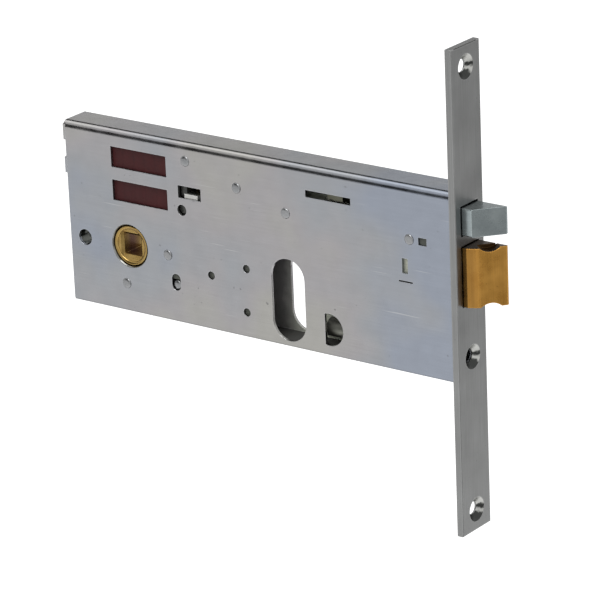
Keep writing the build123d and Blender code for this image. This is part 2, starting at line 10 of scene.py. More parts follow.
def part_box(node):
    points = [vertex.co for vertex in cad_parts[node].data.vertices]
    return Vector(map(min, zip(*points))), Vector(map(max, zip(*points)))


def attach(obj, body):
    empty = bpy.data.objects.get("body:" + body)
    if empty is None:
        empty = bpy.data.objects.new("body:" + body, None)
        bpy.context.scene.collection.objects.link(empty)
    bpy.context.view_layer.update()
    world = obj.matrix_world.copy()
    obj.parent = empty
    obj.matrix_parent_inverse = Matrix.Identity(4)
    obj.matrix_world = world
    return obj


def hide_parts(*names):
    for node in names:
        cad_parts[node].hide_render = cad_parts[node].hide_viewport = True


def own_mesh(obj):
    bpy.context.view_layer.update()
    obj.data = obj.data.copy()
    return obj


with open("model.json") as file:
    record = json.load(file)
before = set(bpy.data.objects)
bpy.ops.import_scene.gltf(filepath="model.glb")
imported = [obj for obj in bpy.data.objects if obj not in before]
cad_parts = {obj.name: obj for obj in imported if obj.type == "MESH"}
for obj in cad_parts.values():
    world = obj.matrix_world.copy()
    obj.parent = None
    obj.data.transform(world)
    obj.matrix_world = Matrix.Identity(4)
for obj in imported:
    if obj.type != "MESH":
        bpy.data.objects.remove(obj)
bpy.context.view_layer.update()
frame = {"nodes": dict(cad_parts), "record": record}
case_low = [min(pair) for pair in zip(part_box("case_pan")[0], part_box("case_cover")[0])]
case_high = [max(pair) for pair in zip(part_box("case_pan")[1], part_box("case_cover")[1])]

# Camera, in metres and degrees, with its lens and sensor in millimetres
camera_target = (-0.0858, 0.0, -0.0190)
camera_distance = 1.6035
camera_azimuth = 37.03
camera_elevation = 19.99
camera_roll = 2.39
camera_lens = 232.65
sensor_width = 36.0

# Stage, in metres
floor_height = -1.10
floor_width = 12.0
floor_grey = 0.8
floor_glow = 0.93
sky_level = 0.40
flag_distance = 1.6

# Name, place, size and power of each lamp
lamps = (
    ("key_lamp", (0.0, -1.05, 1.42), 1.1, 12.0),
    ("fill_lamp", (1.3, -1.1, 0.5), 0.9, 1.5),
    ("top_lamp", (-1.0, 0.05, 1.30), 0.8, 2.0),
    ("crown_lamp", (-0.10, -0.25, 1.60), 1.0, 11.0),
)

# Name, direction, width, height and brightness of each grey card
flags = (
    ("flag_above", (-0.57, 0.75, 0.24), 1.5, 0.70, 0.82),
    ("flag_crease", (-0.57, 0.60, 0.65), 0.9, 0.80, 0.05),
    ("flag_right", (0.57, 0.75, -0.16), 1.6, 0.80, 0.75),
    ("flag_front", (0.90, -0.30, -0.34), 1.6, 1.00, 0.56),
    ("flag_left", (-0.57, -0.76, 0.27), 1.0, 1.05, 0.05),
)

# How finely round shapes are stepped, and how near two points are one, in metres
round_steps = 40
dome_step_degrees = 15
wire_sides = 10
steps_per_turn = 28
pad_corner_steps = 6
pad_rim_steps = 3
merge_distance = 1e-6

# Post heads and the anchor post, in metres and degrees, with the profile in shares of radius and height
head_radius = 0.0022
head_height = 0.00045
head_sink = 0.0003
head_tilt = 5.0
head_seed = 4
head_profile = ((1.0, 0.0), (0.94, 0.55), (0.78, 0.85), (0.45, 0.97), (0.0, 1.0))
dome_share = 0.3

# Follower's axis, and the cover's drawn edge round it, in metres out from its hole and behind its face
hub_axis = (-0.1690, 0.0, -0.0076)
hub_hole_radius = 0.0096
collar_profile = (
    (0.00010, -0.00001),
    (0.0, -0.00003),
    (-0.00010, 0.00006),
    (-0.00052, 0.00074),
    (-0.00052, 0.00084),
    (0.0, 0.00090),
    (0.00010, -0.00001),
)

# Lip on the follower, in metres, with its crest's profile in shares inwards and down
lip_radius = 0.0087
lip_foot_radius = 0.00715
lip_height = 0.00045
lip_crest = 0.0003
lip_sink = 0.00005
lip_profile = ((2.0, 0.2), (1.0, 0.0), (0.2, 0.3), (0.0, 1.0))

# Dark grey sheets behind the cover, as painted shade in its holes, in metres, with places and sizes along X
# and Z
shade_sheet_thick = 0.00025
shade_sheet_radius = 0.0025
pilot_holes = ((-0.1259, -0.0131), (-0.1073, -0.0069), (-0.1079, -0.0262))
shade_sheet_patches = (
    ((-0.0179, 0.0204), (0.0054, 0.0046)),
    ((-0.1448, -0.0166), (0.0062, 0.0040)),
)

# Pad on the draw bar and rib on the auxiliary bolt's tail, in metres
pad_centre = (-0.0286, 0.0070)
pad_size = (0.0070, 0.0094)
pad_height = 0.00055
pad_corner = 0.0008
pad_rim = 0.00015
lug_rear = -0.0623
tail_face = -0.0015
rib_length = 0.0029
rib_height = 0.0022
rib_drop = 0.0003
rib_corner = 0.0002

# Wire diameter in metres and turns of each spring
spring_wires = {
    "latch_spring": (0.0010, 8),
    "upper_bolt_spring": (0.0012, 7),
    "armature_spring": (0.0006, 4),
}

# Where the finishes, the painted shade and the painted light change, in metres, with each span from clean to
# marked, shaded or lit
sheet = 0.0012
inside_slack = 0.00002
back_slack = 0.1 * sheet
bottom_band = (0.0007, 0.0003)
back_light_span = (-0.099, -0.083)
back_light_wander = 0.010
bevel_point = (0.0068, -0.0036, 0.0)
bevel_normal = (0.77, -0.64, 0.0)
latch_shade_root = (-0.0029, -0.0035)
latch_shade_wander = 0.0018
hub_shade_depth = (0.0053, 0.0011)
hub_shade_wander = 0.001
tube_axis_height = -0.0077
tube_mouth = (-0.0030, -0.0036)
tube_floor = (-0.0004, -0.0010)
tube_shade_wander = 0.0016
sink_reach = 0.0078

# Where most values of a noise lie, and how alike the true and rounded normals are from flat to worn edge
NOISE_SPAN = (0.3, 0.7)
WORN_EDGE = (1.0, 0.86)
edge_samples = 4

# Linear colours of the finishes
ZINC_BLUE = (0.240, 0.262, 0.305)
ZINC_PLAIN = (0.268, 0.277, 0.292)
ZINC_ROSE = (0.292, 0.284, 0.290)
ZINC_WARM = (0.305, 0.300, 0.284)
SCRATCH = (0.50, 0.50, 0.50)
PIT = (0.10, 0.10, 0.105)
RUBBED_ZINC = (0.55, 0.56, 0.57)
# Pale colour of the painted light inside the back sheet
BACK_PAINTED_LIGHT = (0.80, 0.82, 0.73)
# Painted shade for the inside walls that face up or down
INSIDE_PAINTED_SHADE = (0.050, 0.050, 0.047)
PLATE_DARK = (0.190, 0.192, 0.190)
PLATE_LIGHT = (0.235, 0.238, 0.236)
# Painted reflection in the countersinks: the dark and the light bands
SINK_REFLECTION_DARK = (0.050, 0.052, 0.050)
SINK_REFLECTION_LIGHT = (0.400, 0.402, 0.385)
BOLT_DARK = (0.244, 0.280, 0.288)
BOLT_LIGHT = (0.298, 0.334, 0.338)
POST_DARK = (0.205, 0.210, 0.216)
POST_LIGHT = (0.270, 0.274, 0.278)
STAMPED_DARK = (0.22, 0.225, 0.22)
STAMPED_LIGHT = (0.34, 0.345, 0.34)
DULL_DARK = (0.085, 0.085, 0.065)
DULL_LIGHT = (0.130, 0.130, 0.100)
SLEEVE_DARK = (0.140, 0.142, 0.122)
SLEEVE_LIGHT = (0.230, 0.232, 0.205)
PAD_DARK = (0.42, 0.43, 0.36)
PAD_LIGHT = (0.52, 0.53, 0.45)
COLLAR_DARK = (0.14, 0.14, 0.13)
COLLAR_LIGHT = (0.22, 0.22, 0.21)
BORED_DARK = (0.72, 0.73, 0.73)
BORED_LIGHT = (0.86, 0.87, 0.87)
# Painted shade in the fixing tube's mouth and along its floor
TUBE_BORE_SHADE = (0.060, 0.063, 0.056)
IRON_DARK = (0.07, 0.07, 0.075)
IRON_LIGHT = (0.12, 0.12, 0.125)
OXIDE_DARK = (0.045, 0.046, 0.043)
OXIDE_LIGHT = (0.095, 0.096, 0.090)
WIRE_DARK = (0.20, 0.20, 0.205)
WIRE_LIGHT = (0.34, 0.34, 0.345)
LATCH_DARK = (0.420, 0.205, 0.040)
LATCH_LIGHT = (0.540, 0.285, 0.066)
# Painted shade on the latch bolt
LATCH_SHADE_COLOUR = (0.024, 0.015, 0.011)
HUB_DARK = (0.200, 0.122, 0.034)
HUB_LIGHT = (0.330, 0.230, 0.082)
# Painted shade in the follower's bore
HUB_BORE_SHADE = (0.085, 0.038, 0.036)
SCREW_DARK = (0.30, 0.20, 0.07)
SCREW_LIGHT = (0.46, 0.33, 0.13)
WRAP_DARK = (0.052, 0.013, 0.014)
WRAP_LIGHT = (0.074, 0.019, 0.020)
WRAP_SEAM = (0.02, 0.006, 0.007)
BOBBIN_BLACK = (0.012, 0.011, 0.011)
BOBBIN_GREY = (0.020, 0.019, 0.019)
LEAD_DARK = (0.12, 0.025, 0.012)
LEAD_LIGHT = (0.22, 0.05, 0.02)
TERMINAL_DARK = (0.020, 0.023, 0.021)
TERMINAL_LIGHT = (0.032, 0.035, 0.032)
# Painted shade: the dark grey sheets behind the cover's holes
SHADE_SHEET_DARK = (0.098, 0.104, 0.088)
SHADE_SHEET_LIGHT = (0.130, 0.137, 0.117)
STRIP_DARK = (0.66, 0.66, 0.63)
STRIP_LIGHT = (0.80, 0.80, 0.77)

# Shade of the zinc from the rear to the faceplate, the tints that it passes through, and its roughness
ZINC_DRIFT = ((0.0, 0.46), (0.5, 0.68), (1.0, 0.28))
ZINC_TINTS = ((0.34, ZINC_BLUE), (0.48, ZINC_PLAIN), (0.60, ZINC_ROSE), (0.72, ZINC_WARM))
ZINC_ROUGHNESS = (0.17, 0.27)
INSIDE_ROUGHNESS = 0.8

# Angle in degrees and seed of each set of scratches, and their noise to the metre
SCRATCH_SETS = ((24.0, 11.0), (-38.0, 17.0), (8.0, 23.0))
SCRATCH_STRETCH = (38.0, 900.0, 1500.0)

# Painted reflection round a countersink, as light and dark bands from its top to its bottom, and how far
# they wander
SINK_WANDER = 0.6
SINK_REFLECTION_BANDS = (
    (0.38, SINK_REFLECTION_LIGHT),
    (0.45, SINK_REFLECTION_DARK),
    (0.54, SINK_REFLECTION_DARK),
    (0.61, SINK_REFLECTION_LIGHT),
    (0.70, SINK_REFLECTION_LIGHT),
    (0.79, SINK_REFLECTION_DARK),
)

# Scales of noise, to the metre, that draw fine lines along one axis
ROLLED_X = (45.0, 1700.0, 1700.0)
ALONG_X = (55.0, 2600.0, 2600.0)
ALONG_Y = (2600.0, 55.0, 2600.0)
ALONG_Z = (2600.0, 2600.0, 40.0)

# How far a noise moves the roughness of a metal and of a plastic, and the roughness of the coils' tape
METAL_SWING = (-0.06, 0.07)
PLASTIC_SWING = (-0.05, 0.08)
WRAP_ROUGHNESS = (0.42, 0.56)


def grey(level):
    """A colour with no hue."""
    return (level, level, level)


def scaled(colour, factor):
    """A colour made darker or lighter, held at white."""
    return tuple(min(1.0, factor * part) for part in colour)


def bare_tree(owner, output_kind):
    """The owner's node tree with nothing in it but a new output."""
    owner.use_nodes = True
    tree = owner.node_tree
    tree.nodes.clear()
    return tree, tree.nodes.new(output_kind)


class Finish:
    """One material, with slow blotches and a small set of tools for wiring its nodes."""

    def __init__(self, name, metallic, blotches, seed, detail=4.0):
        self.material = bpy.data.materials.new(name)
        self.tree, output = bare_tree(self.material, "ShaderNodeOutputMaterial")
        self.shader = self.node("ShaderNodeBsdfPrincipled")
        self.shader.inputs["Metallic"].default_value = metallic
        self.wire(self.shader.outputs["BSDF"], output.inputs["Surface"])
        self.place = self.node("ShaderNodeTexCoord").outputs["Object"]
        self.cloud = self.noise(blotches, detail, seed=seed)

    def node(self, kind):
        return self.tree.nodes.new(kind)

    def wire(self, source, target):
        self.tree.links.new(source, target)

    def feed(self, socket, source):
        """Gives a socket a fixed number, vector or colour, or wires it to another socket."""
        if isinstance(source, (int, float)):
            socket.default_value = source
        elif isinstance(source, tuple):
            socket.default_value = (*source, 1.0) if socket.type == "RGBA" else source
        else:
            self.wire(source, socket)

    def noise(self, scale, detail, stretch=None, turn=(0.0, 0.0, 0.0), seed=0.0):
        """Noise with so many features to the metre, maybe turned and stretched, as a value."""
        texture = self.node("ShaderNodeTexNoise")
        texture.noise_dimensions = "4D"
        texture.inputs["W"].default_value = seed
        texture.inputs["Scale"].default_value = scale
        texture.inputs["Detail"].default_value = detail
        vector = self.place
        if stretch:
            mapping = self.node("ShaderNodeMapping")
            mapping.inputs["Rotation"].default_value = [radians(angle) for angle in turn]
            mapping.inputs["Scale"].default_value = stretch
            self.wire(self.place, mapping.inputs["Vector"])
            vector = mapping.outputs["Vector"]
        self.wire(vector, texture.inputs["Vector"])
        return texture.outputs["Fac"]

    def ramp(self, value, stops):
        """Colours spread over a value."""
        ramp = self.node("ShaderNodeValToRGB")
        elements = ramp.color_ramp.elements
        while len(elements) < len(stops):
            elements.new(1.0)
        for element, (at, colour) in zip(elements, stops):
            element.position = at
            element.color = (*colour, 1.0)
        self.wire(value, ramp.inputs["Fac"])
        return ramp.outputs["Color"]

    def spread(self, value, span, result):
        """A value mapped from one span to another and held at its ends."""
        mapped = self.node("ShaderNodeMapRange")
        for key, number in zip(("From Min", "From Max", "To Min", "To Max"), (*span, *result)):
            mapped.inputs[key].default_value = number
        self.wire(value, mapped.inputs["Value"])
        return mapped.outputs["Result"]

    def rising(self, value, span, most=1.0):
        """A value that rises from 0 at the span's start to the most at its end."""
        return self.spread(value, span, (0.0, most))

    def blend(self, factor, first, second, mode="MIX"):
        """Two colours mixed by a value or a fixed share."""
        mix = self.node("ShaderNodeMix")
        mix.data_type = "RGBA"
        mix.blend_type = mode
        for key, source in (("Factor", factor), ("A", first), ("B", second)):
            socket = [s for s in mix.inputs if s.name == key and s.enabled][0]
            self.feed(socket, source)
        return [s for s in mix.outputs if s.enabled][0]

    def between(self, noise, dark, light):
        """A colour that goes from dark to light with a noise."""
        return self.ramp(noise, tuple(zip(NOISE_SPAN, (dark, light))))

    def shaded(self, colour, noise, low, high, share):
        """A colour made darker and lighter by a noise."""
        return self.blend(share, colour, self.between(noise, grey(low), grey(high)), "MULTIPLY")

    def maths(self, operation, first, second=0.0):
        """Two values combined."""
        node = self.node("ShaderNodeMath")
        node.operation = operation
        self.feed(node.inputs[0], first)
        self.feed(node.inputs[1], second)
        return node.outputs["Value"]

    def ragged(self, value, noise, reach):
        """A value that wanders with a noise, for an uneven border."""
        offset = self.maths("MULTIPLY", self.maths("SUBTRACT", noise, 0.5), reach)
        return self.maths("ADD", value, offset)

    def dot(self, first, second):
        """How far two vectors point the same way."""
        node = self.node("ShaderNodeVectorMath")
        node.operation = "DOT_PRODUCT"
        self.feed(node.inputs[0], first)
        self.feed(node.inputs[1], second)
        return node.outputs["Value"]

    def part(self, vector, key):
        """One coordinate of a vector."""
        split = self.node("ShaderNodeSeparateXYZ")
        self.wire(vector, split.inputs["Vector"])
        return split.outputs[key]

    def axis(self, key):
        """One of the object coordinates, in metres."""
        return self.part(self.place, key)

    def true_normal(self):
        """The surface's own normal."""
        return self.node("ShaderNodeNewGeometry").outputs["Normal"]

    def round_normal(self, radius):
        """The surface's normal with its edges rounded."""
        bevel = self.node("ShaderNodeBevel")
        bevel.samples = edge_samples
        bevel.inputs["Radius"].default_value = radius
        return bevel.outputs["Normal"]

    def normal(self, key):
        """How far a surface faces along one axis, less than 0 the other way."""
        return self.part(self.true_normal(), key)

    def facing(self, key):
        """How far a surface faces along one axis, either way."""
        return self.maths("ABSOLUTE", self.normal(key))

    def over_plane(self, point, normal):
        """Height over a plane, in metres, less than 0 behind it."""
        away = self.node("ShaderNodeVectorMath")
        away.operation = "SUBTRACT"
        self.feed(away.inputs[0], self.place)
        self.feed(away.inputs[1], point)
        return self.dot(away.outputs["Vector"], normal)

    def within(self, low, high):
        """A value of 1 inside a box."""
        farthest = 0.0
        for key, first, last in zip("XYZ", low, high):
            off_middle = self.maths("SUBTRACT", self.axis(key), 0.5 * (first + last))
            share = self.maths("DIVIDE", self.maths("ABSOLUTE", off_middle), 0.5 * (last - first))
            farthest = self.maths("MAXIMUM", farthest, share)
        return self.maths("LESS_THAN", farthest, 1.0)

    def edge_wear(self, radius, most):
        """A value that rises on edges, where handling has rubbed them."""
        return self.rising(self.dot(self.round_normal(radius), self.true_normal()), WORN_EDGE, most)

    def finish(self, colour, roughness, height, relief, edge):
        """Wires the colour, roughness and relief into the shader, with softened edges."""
        self.wire(colour, self.shader.inputs["Base Color"])
        self.wire(roughness, self.shader.inputs["Roughness"])
        bump = self.node("ShaderNodeBump")
        bump.inputs["Strength"].default_value = 1.0
        bump.inputs["Distance"].default_value = relief
        self.wire(height, bump.inputs["Height"])
        self.wire(self.round_normal(edge), bump.inputs["Normal"])
        self.wire(bump.outputs["Normal"], self.shader.inputs["Normal"])
        return self.material


def zinc_tint(zinc, grain):
    """Blue, plain, rose and warm zinc that drift along the case, clouded, with the rolling grain."""
    along = zinc.rising(zinc.axis("X"), (case_low[0], case_high[0]))
    drift = zinc.ramp(along, [(at, grey(level)) for at, level in ZINC_DRIFT])
    slow = zinc.noise(scale=22.0, detail=2.0, seed=1.7)
    shade = zinc.maths("ADD", slow, zinc.maths("SUBTRACT", drift, 0.5))
    tint = zinc.shaded(zinc.ramp(shade, ZINC_TINTS), zinc.cloud, low=0.90, high=1.07, share=0.6)
    return zinc.shaded(tint, grain, low=0.92, high=1.06, share=0.35)


def zinc_marks(zinc, tint):
    """Scratches in three directions, small pits, rubbed edges, and a darker colour along the bottom of the
    case.
    """
    for angle, seed in SCRATCH_SETS:
        streak = zinc.noise(1.0, detail=1.0, stretch=SCRATCH_STRETCH, turn=(0.0, angle, 0.0), seed=seed)
        tint = zinc.blend(zinc.rising(streak, (0.745, 0.79), most=0.35), tint, SCRATCH)
    specks = zinc.noise(scale=520.0, detail=1.0, seed=31.0)
    tint = zinc.blend(zinc.rising(specks, (0.735, 0.76), most=0.55), tint, PIT)
    tint = zinc.blend(zinc.edge_wear(radius=0.0005, most=0.45), tint, RUBBED_ZINC)
    # Darker along the lowest part of the case
    below = zinc.rising(zinc.axis("Z"), [case_low[2] + height for height in bottom_band], most=0.30)
    return zinc.blend(below, tint, PIT)


def zinc_inside(zinc, tint, inside):
    """Painted shade on the inside walls that face up or down, and a pale patch of painted light on the
    inside of the back sheet.
    """
    # Painted shade: the inside walls that face up or down are darkened
    ends = zinc.maths("MULTIPLY", inside, zinc.rising(zinc.facing("Z"), (0.5, 0.8), most=0.8))
    tint = zinc.blend(ends, tint, INSIDE_PAINTED_SHADE)
    back_face = case_high[1] - sheet
    back = zinc.within(
        (case_low[0] + sheet, back_face - back_slack, case_low[2] + sheet),
        (case_high[0] - sheet, back_face + back_slack, case_high[2] - sheet),
    )
    # Painted light: a pale patch on the inside of the back sheet
    painted_light_patch = zinc.rising(zinc.ragged(zinc.axis("X"), zinc.cloud, back_light_wander), back_light_span)
    return zinc.blend(zinc.maths("MULTIPLY", back, painted_light_patch), tint, BACK_PAINTED_LIGHT)


def zinc_sheet():
    """Bright zinc-plated sheet with a rough inside, painted shade on its upper and lower inside walls and a
    patch of painted light on the back sheet's inside.
    """
    zinc = Finish("zinc_sheet", metallic=1.0, blotches=160.0, seed=4.2)
    grain = zinc.noise(1.0, detail=2.0, stretch=ROLLED_X, seed=2.0)
    tint = zinc_marks(zinc, zinc_tint(zinc, grain))
    wall = sheet - inside_slack
    inside = zinc.within([low + wall for low in case_low], [high - wall for high in case_high])
    tint = zinc_inside(zinc, tint, inside)
    outside = zinc.spread(zinc.cloud, NOISE_SPAN, ZINC_ROUGHNESS)
    roughness = zinc.maths("MAXIMUM", outside, zinc.maths("MULTIPLY", inside, INSIDE_ROUGHNESS))
    height = zinc.maths("ADD", zinc.maths("MULTIPLY", grain, 0.5), zinc.cloud)
    return zinc.finish(tint, roughness, height, relief=0.000004, edge=0.0004)


def brushed_metal(name, dark, light, lines, roughness, blotches, wear, edge, seed, painted_shading):
    """Satin metal: fine lines along one axis, blotches, pits, rubbed edges and, on some, painted light and
    shade.
    """
    metal = Finish(name, metallic=1.0, blotches=blotches, seed=seed + 1.0)
    grain = metal.noise(1.0, detail=2.0, stretch=lines, seed=seed + 2.0)
    colour = metal.between(metal.cloud, dark, light)
    colour = metal.shaded(colour, grain, low=0.86, high=1.12, share=0.7)
    specks = metal.noise(scale=900.0, detail=1.0, seed=seed + 3.0)
    colour = metal.blend(metal.rising(specks, (0.72, 0.76), most=0.5), colour, scaled(dark, 0.3))
    colour = metal.blend(metal.edge_wear(radius=2.0 * edge, most=wear), colour, scaled(light, 1.7))
    if painted_shading:
        cover, painted_shading_colour = painted_shading(metal)
        colour = metal.blend(cover, colour, painted_shading_colour)
    rough = metal.spread(metal.cloud, NOISE_SPAN, [roughness + swing for swing in METAL_SWING])
    height = metal.maths("ADD", grain, metal.maths("MULTIPLY", metal.cloud, 0.5))
    return metal.finish(colour, rough, height, relief=0.000014, edge=edge)


def latch_painted_shade(metal):
    """Painted shade on the latch: on its top and bottom, on its sides that face along Y, and at its root
    behind the bevel plane.
    """
    ends = metal.rising(metal.facing("Z"), (0.45, 0.70), most=0.92)
    sides = metal.rising(metal.facing("Y"), (0.72, 0.94), most=0.58)
    behind = metal.ragged(metal.over_plane(bevel_point, bevel_normal), metal.cloud, latch_shade_wander)
    root = metal.rising(behind, latch_shade_root, most=0.90)
    return metal.maths("MAXIMUM", metal.maths("MAXIMUM", ends, sides), root), LATCH_SHADE_COLOUR


def hub_bore_painted_shade(metal):
    """Painted shade that darkens the follower's bore away from its two mouths."""
    depth = metal.maths("ABSOLUTE", metal.axis("Y"))
    border = metal.ragged(depth, metal.cloud, hub_shade_wander)
    return metal.rising(border, hub_shade_depth, most=0.85), HUB_BORE_SHADE


def tube_painted_shade(metal):
    """Painted shade in the tube's mouth and along the floor of its bore."""
    depth = metal.ragged(metal.axis("Y"), metal.cloud, tube_shade_wander)
    mouth = metal.rising(depth, tube_mouth, most=0.96)
    over_axis = metal.maths("SUBTRACT", metal.axis("Z"), tube_axis_height)
    floor = metal.rising(metal.ragged(over_axis, metal.cloud, tube_shade_wander), tube_floor, most=0.96)
    return metal.maths("MAXIMUM", mouth, floor), TUBE_BORE_SHADE


def sink_painted_reflection(metal):
    """Painted reflection in the countersinks alone: light and dark bands round the cut metal, from top to
    bottom.
    """
    slope = metal.facing("X")
    cone = metal.maths("MULTIPLY", metal.rising(slope, (0.35, 0.50)), metal.rising(slope, (0.95, 0.85)))
    off_middle = metal.maths("ABSOLUTE", metal.axis("Y"))
    cover = metal.maths("MULTIPLY", cone, metal.maths("LESS_THAN", off_middle, sink_reach))
    band_wander_noise = metal.noise(scale=650.0, detail=3.0, seed=7.0)
    round_sink = metal.rising(metal.ragged(metal.normal("Z"), band_wander_noise, SINK_WANDER), (-0.8, 0.8))
    return cover, metal.ramp(round_sink, SINK_REFLECTION_BANDS)


def coil_wrap():
    """Varnished tape round a winding: dark red, with the tape's turns across it."""
    wrap = Finish("coil_wrap", metallic=0.0, blotches=180.0, seed=5.0)
    tape = wrap.node("ShaderNodeTexWave")
    tape.wave_type = "BANDS"
    tape.bands_direction = "X"
    for key, number in (("Scale", 55.0), ("Distortion", 0.6), ("Detail", 1.0)):
        tape.inputs[key].default_value = number
    wrap.wire(wrap.place, tape.inputs["Vector"])
    turns = tape.outputs["Fac"]
    seams = wrap.rising(turns, (0.12, 0.0), most=0.12)
    colour = wrap.blend(seams, wrap.between(wrap.cloud, WRAP_DARK, WRAP_LIGHT), WRAP_SEAM)
    wrap.shader.inputs["Specular IOR Level"].default_value = 0.15
    rough = wrap.spread(wrap.cloud, NOISE_SPAN, WRAP_ROUGHNESS)
    return wrap.finish(colour, rough, turns, relief=0.00004, edge=0.0003)


def moulded_plastic(name, dark, light, roughness, seed):
    """Moulded plastic with a fine spark-eroded grain."""
    plastic = Finish(name, metallic=0.0, blotches=120.0, seed=seed, detail=3.0)
    spark = plastic.noise(scale=4200.0, detail=2.0, seed=seed + 1.0)
    colour = plastic.between(plastic.cloud, dark, light)
    colour = plastic.blend(plastic.edge_wear(radius=0.0003, most=0.4), colour, scaled(light, 1.4))
    rough = plastic.spread(spark, NOISE_SPAN, [roughness + swing for swing in PLASTIC_SWING])
    return plastic.finish(colour, rough, spark, relief=0.00002, edge=0.0002)


# Metals: dark, light, lines, roughness, blotches to the metre, edge wear, edge width in metres, seed,
# painted light and shade
metals = {
    "faceplate_steel": (PLATE_DARK, PLATE_LIGHT, ALONG_Z, 0.34, 60.0, 0.6, 0.0004, 0.0, sink_painted_reflection),
    "bolt_steel": (BOLT_DARK, BOLT_LIGHT, ALONG_X, 0.26, 120.0, 0.5, 0.0003, 10.0, None),
    "post_steel": (POST_DARK, POST_LIGHT, ALONG_Y, 0.26, 400.0, 0.15, 0.0002, 20.0, None),
    "inner_steel": (STAMPED_DARK, STAMPED_LIGHT, ALONG_X, 0.42, 150.0, 0.4, 0.0002, 30.0, None),
    "spring_steel": (WIRE_DARK, WIRE_LIGHT, ALONG_X, 0.28, 300.0, 0.3, 0.0002, 40.0, None),
    "magnet_iron": (IRON_DARK, IRON_LIGHT, ALONG_Z, 0.48, 200.0, 0.4, 0.0002, 50.0, None),
    "latch_brass": (LATCH_DARK, LATCH_LIGHT, ALONG_Z, 0.28, 150.0, 0.4, 0.0004, 60.0, latch_painted_shade),
    "follower_brass": (HUB_DARK, HUB_LIGHT, ALONG_Y, 0.28, 180.0, 0.5, 0.0003, 70.0, hub_bore_painted_shade),
    "terminal_brass": (SCREW_DARK, SCREW_LIGHT, ALONG_Y, 0.32, 500.0, 0.4, 0.0002, 80.0, None),
    "black_oxide": (OXIDE_DARK, OXIDE_LIGHT, ALONG_X, 0.34, 250.0, 0.5, 0.0002, 90.0, None),
    "dull_steel": (DULL_DARK, DULL_LIGHT, ALONG_X, 0.45, 250.0, 0.3, 0.0002, 95.0, None),
    "sleeve_steel": (SLEEVE_DARK, SLEEVE_LIGHT, ALONG_X, 0.45, 250.0, 0.3, 0.0002, 96.0, None),
    "pad_steel": (PAD_DARK, PAD_LIGHT, ALONG_X, 0.62, 250.0, 0.2, 0.0002, 97.0, None),
    "rubbed_zinc": (COLLAR_DARK, COLLAR_LIGHT, ALONG_Y, 0.16, 300.0, 0.0, 0.0001, 98.0, None),
    "bored_steel": (BORED_DARK, BORED_LIGHT, ALONG_Y, 0.10, 300.0, 0.3, 0.0002, 99.0, tube_painted_shade),
}

# Plastics: dark, light, roughness and seed
plastics = {
    "bobbin_plastic": (BOBBIN_BLACK, BOBBIN_GREY, 0.45, 3.0),
    "lead_enamel": (LEAD_DARK, LEAD_LIGHT, 0.30, 6.0),
    "terminal_plastic": (TERMINAL_DARK, TERMINAL_LIGHT, 0.42, 9.0),
    "strip_white": (STRIP_DARK, STRIP_LIGHT, 0.40, 12.0),
    # Painted shade: the dark grey sheets behind the cover's holes
    "shade_sheet": (SHADE_SHEET_DARK, SHADE_SHEET_LIGHT, 0.70, 15.0),
}

# Every finish, by the name of its material slot or its own name
finishes = {"case_zinc": zinc_sheet(), "coil_wrap": coil_wrap()}
for name, look in metals.items():
    finishes[name] = brushed_metal(name, *look)
for name, look in plastics.items():
    finishes[name] = moulded_plastic(name, *look)

# Nodes whose finish differs from their slot's
own_finish = {
    # The armature pivot is made dark as painted shade in its access hole
    "armature_pivot": "black_oxide",
    "catch_lever": "black_oxide",
    "fixing_tube": "bored_steel",
    "screw_sleeve": "sleeve_steel",
    "upper_bolt_tail": "dull_steel",
}
for subpart in frame["record"]["subparts"]:
    node = subpart["node"]
    mesh = frame["nodes"][node].data
    mesh.materials.clear()
    mesh.materials.append(finishes[own_finish.get(node, subpart["material_slot"])])


def new_piece(name, shape, body, slot, finish=None):
    """A finished shape made into a piece that rides on a body."""
    bmesh.ops.recalc_face_normals(shape, faces=shape.faces)
    mesh = bpy.data.meshes.new(name)
    shape.to_mesh(mesh)
    shape.free()
    mesh.materials.append(finishes[finish or slot])
    piece = bpy.data.objects.new(name, mesh)
    bpy.context.scene.collection.objects.link(piece)
    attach(piece, body)
    return piece


def turned_y(shape, outline):
    """An outline of radius and depth, spun round the Y axis into a closed form. Gives its vertices."""
    rim = [shape.verts.new((radius, depth, 0.0)) for radius, depth in outline]
    edges = [shape.edges.new(pair) for pair in zip(rim, rim[1:])]
    before = set(shape.verts) - set(rim)
    bmesh.ops.spin(shape, geom=rim + edges, cent=(0, 0, 0), axis=(0, 1, 0), angle=radians(360),
                   steps=round_steps, use_merge=True)
    made = [vert for vert in shape.verts if vert not in before]
    bmesh.ops.remove_doubles(shape, verts=made, dist=merge_distance)
    made = [vert for vert in shape.verts if vert not in before]
    for face in {face for vert in made for face in vert.link_faces}:
        face.smooth = True
    return made


def raised_pad(shape, centre, size, face, height, corner):
    """A pad with rounded corners and a broken rim, added in front of a face that looks along -Y."""
    before = set(shape.edges)
    block = bmesh.ops.create_cube(shape, size=1.0)["verts"]
    bmesh.ops.scale(shape, vec=(size[0], height, size[1]), verts=block)
    middle = (centre[0], face - 0.5 * height, centre[1])
    bmesh.ops.translate(shape, vec=middle, verts=block)
    edges = [edge for edge in shape.edges if edge not in before]
    corners = [edge for edge in edges if abs((edge.verts[0].co - edge.verts[1].co).y) > 0.5 * height]
    bmesh.ops.bevel(shape, geom=corners, offset=corner, segments=pad_corner_steps, profile=0.5,
                    affect="EDGES", material=-1)
    edges = [edge for edge in shape.edges if edge not in before]
    rim = [edge for edge in edges if all(vert.co.y < middle[1] for vert in edge.verts)]
    bmesh.ops.bevel(shape, geom=rim, offset=pad_rim, segments=pad_rim_steps, profile=0.5,
                    affect="EDGES", material=-1)


